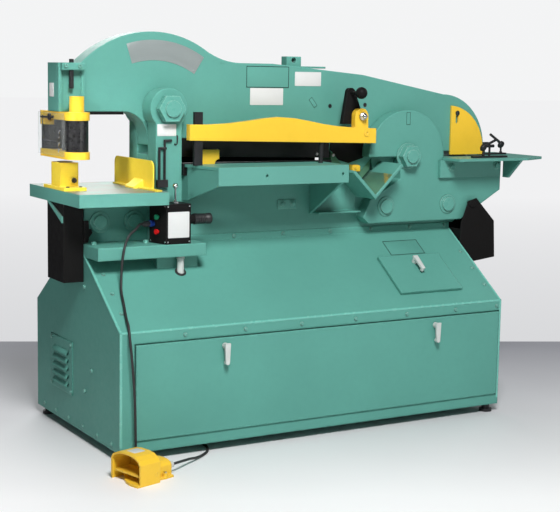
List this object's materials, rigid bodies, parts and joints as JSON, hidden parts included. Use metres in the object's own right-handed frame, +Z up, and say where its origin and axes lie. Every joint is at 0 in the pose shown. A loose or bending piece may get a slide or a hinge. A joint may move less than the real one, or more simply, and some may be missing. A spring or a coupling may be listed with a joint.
{
  "type": "ironworker machine",
  "caption": "Hydraulic ironworker with a rocking beam over a cabinet, punch station, bar shear with hold-down, angle shear, notcher table, control box and corded foot switch.",
  "frame": {"origin": "on the floor at the middle of the four feet", "axes": "+X along the machine from the punch end to the notcher, front faces -Y, +Z up"},
  "size_m": [2.325, 1.1738, 1.616],
  "materials": {
    "green_paint": "satin blue-green enamel",
    "yellow_paint": "satin yellow enamel",
    "black_paint": "satin black enamel",
    "grey_paint": "satin grey enamel",
    "tool_steel": "ground tool steel",
    "dark_steel": "black oxide",
    "cast_iron": "as cast",
    "chrome": "polished",
    "grey_plastic": "matt",
    "black_plastic": "matt",
    "blue_plastic": "gloss",
    "green_plastic": "gloss",
    "red_plastic": "gloss",
    "black_rubber": "matt"
  },
  "bodies": {
    "base": {"cabinet_panels": "green_paint", "base_frame": "green_paint", "leveling_feet": "dark_steel", "bed_plate": "green_paint", "side_plates": "green_paint", "main_pivot_pin": "green_paint", "tie_bolts": "green_paint", "punch_table": "green_paint", "die_block": "yellow_paint", "punch_die": "tool_steel", "table_guard": "yellow_paint", "left_chute": "black_paint", "right_chute": "black_paint", "strap_ledge": "green_paint", "control_box": "black_paint", "cable_connector": "blue_plastic", "conduit": "grey_plastic", "shear_table": "green_paint", "angle_trough": "green_paint", "lower_shear_blade": "tool_steel", "bar_die": "yellow_paint", "notcher_table": "green_paint", "notch_die": "tool_steel", "hold_down_posts": "dark_steel", "pedal_housing": "yellow_paint", "foot_cable": "black_rubber", "pedal_gland": "black_plastic", "hydraulic_tank": "grey_paint", "pump_motor": "grey_paint", "hydraulic_pump": "cast_iron", "cylinder_barrel": "grey_paint", "vent_plate": "green_paint", "cabinet_screws": "green_paint"},
    "beam": {"beam": "green_paint", "punch_head": "green_paint", "punch": "dark_steel", "stripper_yoke": "yellow_paint", "upper_shear_blade": "tool_steel", "angle_blade": "tool_steel", "notch_blade": "tool_steel", "strap_pin": "green_paint"},
    "stripper": {"stripper_foot": "yellow_paint", "stripper_sleeves": "black_rubber"},
    "straps": {"link_straps": "green_paint", "hex_keys": "dark_steel"},
    "cylinder_rod": {"cylinder_rod": "chrome"},
    "hold_down": {"hold_down_bar": "yellow_paint"},
    "crank": {"crank_lever": "black_paint"},
    "notcher_guard": {"notcher_guard": "yellow_paint"},
    "front_door": {"front_door": "green_paint"},
    "front_latch_left": {"front_latch_left": "grey_plastic"},
    "front_latch_right": {"front_latch_right": "grey_plastic"},
    "slope_door": {"slope_door": "green_paint"},
    "slope_latch": {"slope_latch": "grey_plastic"},
    "green_button": {"green_button": "green_plastic"},
    "red_button": {"red_button": "red_plastic"},
    "toggle_lever": {"toggle_lever": "chrome"},
    "treadle": {"treadle": "yellow_paint"},
    "gauge_side": {"gauge_side": "dark_steel"},
    "gauge_back": {"gauge_back": "dark_steel"}
  },
  "joints": [
    {"name": "beam_rock", "type": "hinge", "parent": "base", "child": "beam", "pos_m": [0.61, 0, 1.11], "axis": [0, -1, 0], "range_deg": [0, 1.6]},
    {"name": "strap_swing", "type": "hinge", "parent": "beam", "child": "straps", "pos_m": [-0.558, 0, 1.316], "axis": [0, -1, 0], "range_deg": [-1.4, 0]},
    {"name": "rod_slide", "type": "slide", "parent": "base", "child": "cylinder_rod", "axis": [0, 0, -1], "range_m": [0, 0.034]},
    {"name": "stripper_slide", "type": "slide", "parent": "beam", "child": "stripper", "axis": [0, 0, 1], "range_m": [0, 0.034], "deforming": ["stripper_sleeves"]},
    {"name": "hold_down_slide", "type": "slide", "parent": "base", "child": "hold_down", "axis": [0, 0, -1], "range_m": [0, 0.05]},
    {"name": "crank_turn", "type": "hinge", "parent": "hold_down", "child": "crank", "pos_m": [0.323, -0.16, 1.287], "axis": [0, -1, 0], "range_deg": [0, 71]},
    {"name": "front_door_tilt", "type": "hinge", "parent": "base", "child": "front_door", "pos_m": [0.0235, -0.441, 0.0826], "axis": [1, 0, 0], "range_deg": [0, 20]},
    {"name": "front_latch_left_turn", "type": "hinge", "parent": "front_door", "child": "front_latch_left", "pos_m": [-0.466, -0.446, 0.4176], "axis": [0, 1, 0], "range_deg": [0, 90]},
    {"name": "front_latch_right_turn", "type": "hinge", "parent": "front_door", "child": "front_latch_right", "pos_m": [0.54, -0.446, 0.4176], "axis": [0, 1, 0], "range_deg": [0, 90]},
    {"name": "slope_door_swing", "type": "hinge", "parent": "base", "child": "slope_door", "pos_m": [0.568, -0.37658, 0.54341], "axis": [1, 0, 0], "range_deg": [0, 88]},
    {"name": "slope_latch_turn", "type": "hinge", "parent": "slope_door", "child": "slope_latch", "pos_m": [0.572, -0.23939, 0.65765], "axis": [0, -0.5791, 0.8153], "range_deg": [0, 90]},
    {"name": "green_button_press", "type": "slide", "parent": "base", "child": "green_button", "axis": [0.9507, 0.31, 0], "range_m": [0, 0.004], "stiffness_N_per_m": 400},
    {"name": "red_button_press", "type": "slide", "parent": "base", "child": "red_button", "axis": [0.9507, 0.31, 0], "range_m": [0, 0.004], "stiffness_N_per_m": 400},
    {"name": "toggle_lever_tilt", "type": "hinge", "parent": "base", "child": "toggle_lever", "pos_m": [-0.564, -0.203, 0.948], "axis": [0, 1, 0], "range_deg": [-15, 15]},
    {"name": "treadle_press", "type": "hinge", "parent": "base", "child": "treadle", "pos_m": [-0.89752, -0.63085, 0.034], "axis": [0.2588, -0.9659, 0], "range_deg": [0, 10], "stiffness_Nm_per_rad": 3, "springref_deg": -5.73},
    {"name": "notcher_guard_slide", "type": "slide", "parent": "beam", "child": "notcher_guard", "axis": [0, 0, 1], "range_m": [0, 0.03]},
    {"name": "gauge_side_slide", "type": "slide", "parent": "base", "child": "gauge_side", "axis": [0, 1, 0], "range_m": [-0.03, 0.05]},
    {"name": "gauge_back_slide", "type": "slide", "parent": "base", "child": "gauge_back", "axis": [1, 0, 0], "range_m": [-0.015, 0.04]}
  ],
  "couplings": [
    {"joint": "strap_swing", "follows": "beam_rock", "ratio": -0.7857},
    {"joint": "rod_slide", "follows": "beam_rock", "m_per_rad": 1.1702},
    {"joint": "stripper_slide", "follows": "beam_rock", "m_per_rad": 1.18},
    {"joint": "crank_turn", "follows": "hold_down_slide", "rad_per_m": 24}
  ]
}
